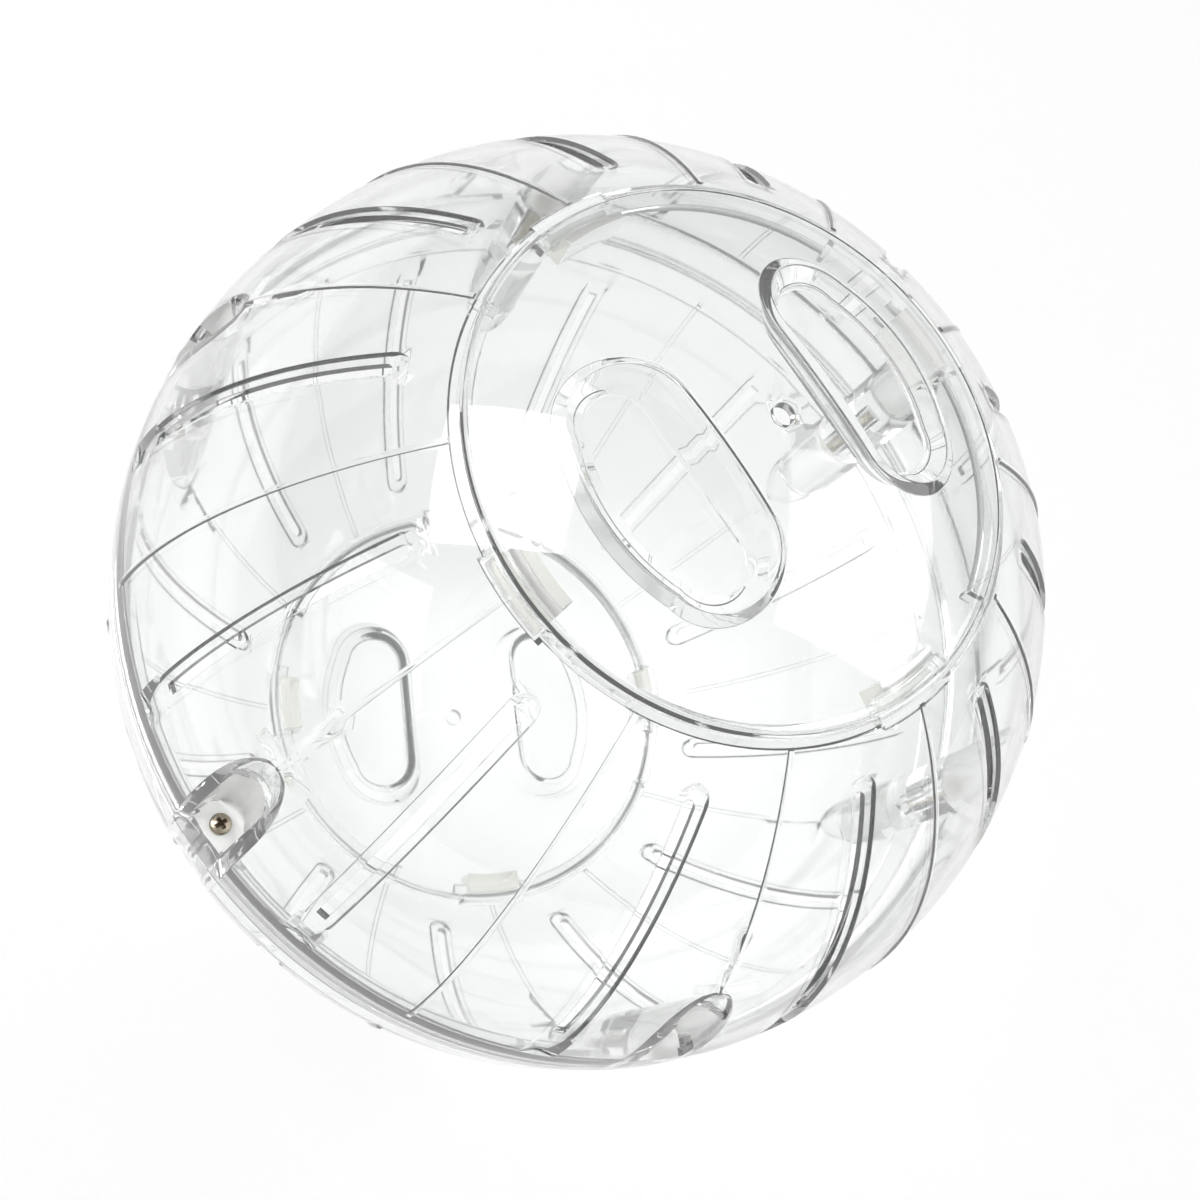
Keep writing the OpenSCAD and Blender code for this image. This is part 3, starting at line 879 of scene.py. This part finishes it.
class Recipe:
    """A material that is being made."""

    def __init__(self, name):
        self.material = bpy.data.materials.new(name)
        self.material.use_nodes = True
        self.tree = self.material.node_tree
        self.tree.nodes.clear()

    def node(self, kind, inputs=(), output=0, **settings):
        """Makes a node, sets it, links or sets its inputs, and gives one output."""
        made = self.tree.nodes.new("ShaderNode" + kind)
        for key, value in settings.items():
            setattr(made, key, value)
        for key, value in dict(inputs).items():
            if isinstance(value, Value):
                self.tree.links.new(value.socket, made.inputs[key])
            else:
                made.inputs[key].default_value = value
        return Value(self.tree, made.outputs[output])

    def noise(self, scale, detail=2.0):
        """Cloudy noise between 0 and 1, with this many lumps to a metre."""
        where = self.node("TexCoord", output="Object")
        return self.node("TexNoise", {"Vector": where, "Scale": scale, "Detail": detail})

    def finish(self, shader):
        """Shows a shader on the surface and gives the material."""
        output = self.tree.nodes.new("ShaderNodeOutputMaterial")
        self.tree.links.new(shader.socket, output.inputs["Surface"])
        return self.material


# %% Materials


def clear_plastic(name, tint, roughness, wear, waves, shadow, clear=0.965):
    """Clear polystyrene: roughness rises a little in cloudy patches, and the surface
    waves by a few hundredths of a millimetre as mouldings do. The share that isn't
    clear scatters light, which keeps edges grey where light is trapped in the wall."""
    recipe = Recipe(name)
    patches = recipe.noise(45.0, 4.0)
    scuffs = recipe.noise(2600.0, 2.0)
    rough = roughness + wear * patches * scuffs
    slow = recipe.noise(28.0, 1.0)
    bump = recipe.node("Bump", {"Height": slow, "Strength": 1.0, "Distance": waves * MM})
    surface = recipe.node("BsdfPrincipled", {
        "Base Color": (*tint, 1), "Roughness": rough, "Normal": bump,
        "Transmission Weight": clear, "IOR": 1.57})
    through = recipe.node("BsdfTransparent", {"Color": (shadow, shadow, shadow, 1)})
    is_shadow = recipe.node("LightPath", output="Is Shadow Ray")
    return recipe.finish(recipe.node("MixShader", {0: is_shadow, 1: surface, 2: through}))


def nickel_plate(name):
    """Nickel plated steel with a warm cast and fine marks, and painted shade that darkens it down in the
    cross recess.
    """
    recipe = Recipe(name)
    stain = recipe.noise(900.0, 3.0)
    marks = recipe.noise(9000.0, 2.0)
    # Painted shade: the recess attribute scales the colour towards black down in the cross, in place of real
    # shade.
    depth = recipe.node("Attribute", output="Fac", attribute_name="recess")
    colour = recipe.node("ValToRGB", {"Fac": (0.3 + 0.7 * stain) * (1.0 - depth)})
    shades = colour.socket.node.color_ramp.elements
    shades[0].color, shades[1].color = (0.03, 0.022, 0.015, 1), (0.56, 0.51, 0.42, 1)
    shades.new(0.3).color = (0.26, 0.21, 0.14, 1)
    bump = recipe.node("Bump", {"Height": marks, "Strength": 0.3, "Distance": 0.02 * MM})
    surface = recipe.node("BsdfPrincipled", {
        "Base Color": colour, "Metallic": 1.0, "Roughness": 0.16 + 0.2 * marks, "Normal": bump})
    return recipe.finish(surface)


SHELL_CLEAR = clear_plastic("shell_clear", (0.955, 0.963, 0.96), 0.012, 0.06, 0.03, 0.93)
LID_CLEAR = clear_plastic("lid_clear", (0.957, 0.965, 0.963), 0.012, 0.06, 0.03, 0.93)
FROSTED = clear_plastic("clip_frosted", (0.82, 0.82, 0.77), 0.2, 0.15, 0.01, 0.85, 0.82)
SATIN = clear_plastic("pocket_satin", (0.94, 0.945, 0.93), 0.3, 0.2, 0.01, 0.9, 0.6)
NICKEL = nickel_plate("nickel_plate")

# %% [markdown]
# Each piece stands for its imported node, whose own mesh is hidden, and rides on the body that the node
# belongs to.

# %% Pieces
GROOVE = TONGUE_H + TONGUE_CLEAR


def settle(piece, body, node):
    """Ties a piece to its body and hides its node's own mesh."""
    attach(piece, body)
    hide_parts(node)


def satin_pockets(piece):
    """Gives the walls and floors of the screw pockets below their ledges a satin finish."""
    mesh = piece.data
    centre = np.empty(len(mesh.polygons) * 3)
    mesh.polygons.foreach_get("center", centre)
    x, y, z = centre.reshape(-1, 3).T / MM
    plan, turn = np.hypot(x, y), (np.arctan2(y, x) + STEP) % (2 * STEP) - STEP
    away = np.hypot(plan * np.cos(turn) - POCKET_AT, plan * np.sin(turn))
    level = np.abs(z)
    inside = (away < SLOT_HALF + 0.05) & (level > SEAM_H - 0.01) & (level < POCKET_LEDGE - 0.1)
    mesh.materials.append(SATIN)
    mesh.polygons.foreach_set("material_index", inside.astype(np.int32))
    print(piece.name, "has", inside.sum(), "satin faces")
    return piece


front = shell_piece("front_shell_clear", -TONGUE_H, False, SHELL_CLEAR)
back = shell_piece("back_shell_clear", GROOVE, True, SHELL_CLEAR)
settle(satin_pockets(front), "ball", "front_shell")
settle(satin_pockets(back), "ball", "back_shell")
for piece in lid_pieces("front_lid", lambda points: points, LID_CLEAR, FROSTED):
    settle(piece, "front_lid", "front_lid")
for piece in lid_pieces("back_lid", back_place, LID_CLEAR, FROSTED):
    settle(piece, "back_lid", "back_lid")
for number in range(1, 7):
    settle(screw_piece(number, NICKEL), "ball", f"screw_{number}")

# %% [markdown]
# The ball stands on a pale floor in soft light. Clear plastic on white shows mostly
# by its edges, which bend in light from the sides. So the sides of the room are
# darker than the floor, most of all low down, and the edges read as grey lines.

# %% Floor, lights and world
DARK_BELOW, BRIGHT_ABOVE = 0.1, 0.6


def pale_floor():
    """A large level square under the ball, in slightly uneven white paper."""
    recipe = Recipe("paper")
    fibres = recipe.noise(700.0, 5.0)
    colour = recipe.node("ValToRGB", {"Fac": fibres})
    ends = colour.socket.node.color_ramp.elements
    ends[0].color, ends[1].color = (0.93, 0.93, 0.93, 1), (0.96, 0.96, 0.96, 1)
    bump = recipe.node("Bump", {"Height": fibres, "Strength": 0.2, "Distance": 0.05 * MM})
    surface = recipe.node("BsdfPrincipled", {
        "Base Color": colour, "Roughness": 0.9, "Normal": bump, "Specular IOR Level": 0.0})
    material = recipe.finish(surface)
    reach = 40 * BALL_R * MM
    z = -LAND_Z * MM - 0.0002
    mesh = bpy.data.meshes.new("floor")
    mesh.from_pydata([(-reach, -reach, z), (reach, -reach, z), (reach, reach, z), (-reach, reach, z)],
                     [], [(0, 1, 2, 3)])
    mesh.materials.append(material)
    floor = bpy.data.objects.new("floor", mesh)
    bpy.context.scene.collection.objects.link(floor)


def softbox(name, where, size, watts):
    """A square area light that faces the ball's centre."""
    data = bpy.data.lights.new(name, "AREA")
    data.shape, data.size, data.energy = "SQUARE", size, watts
    light = bpy.data.objects.new(name, data)
    light.location = where
    light.rotation_euler = (-Vector(where)).to_track_quat("-Z", "Y").to_euler()
    bpy.context.scene.collection.objects.link(light)


def room(low, high):
    """A grey room that is darker near the horizon. The height of a direction, the sine of
    its elevation, sets the grey between the two that are given."""
    world = bpy.data.worlds.new("room")
    world.use_nodes = True
    nodes, links = world.node_tree.nodes, world.node_tree.links
    where, split = nodes.new("ShaderNodeTexCoord"), nodes.new("ShaderNodeSeparateXYZ")
    shade = nodes.new("ShaderNodeMapRange")
    span = {"From Min": DARK_BELOW, "From Max": BRIGHT_ABOVE, "To Min": low, "To Max": high}
    for name, value in span.items():
        shade.inputs[name].default_value = value
    links.new(where.outputs["Generated"], split.inputs[0])
    links.new(split.outputs["Z"], shade.inputs["Value"])
    background = nodes["Background"]
    background.inputs["Color"].default_value = (1, 1, 1, 1)
    links.new(shade.outputs["Result"], background.inputs["Strength"])
    bpy.context.scene.world = world


pale_floor()
softbox("key", (0.9, -1.1, 1.9), 1.3, 27.0)
softbox("fill", (-1.3, 1.0, 1.6), 1.6, 15.0)
room(0.22, 0.6)
scene = bpy.context.scene
scene.view_settings.view_transform = "Standard"
scene.cycles.max_bounces = 20
scene.cycles.transmission_bounces = 20
scene.cycles.transparent_max_bounces = 32
print("floor, lights and room are set")
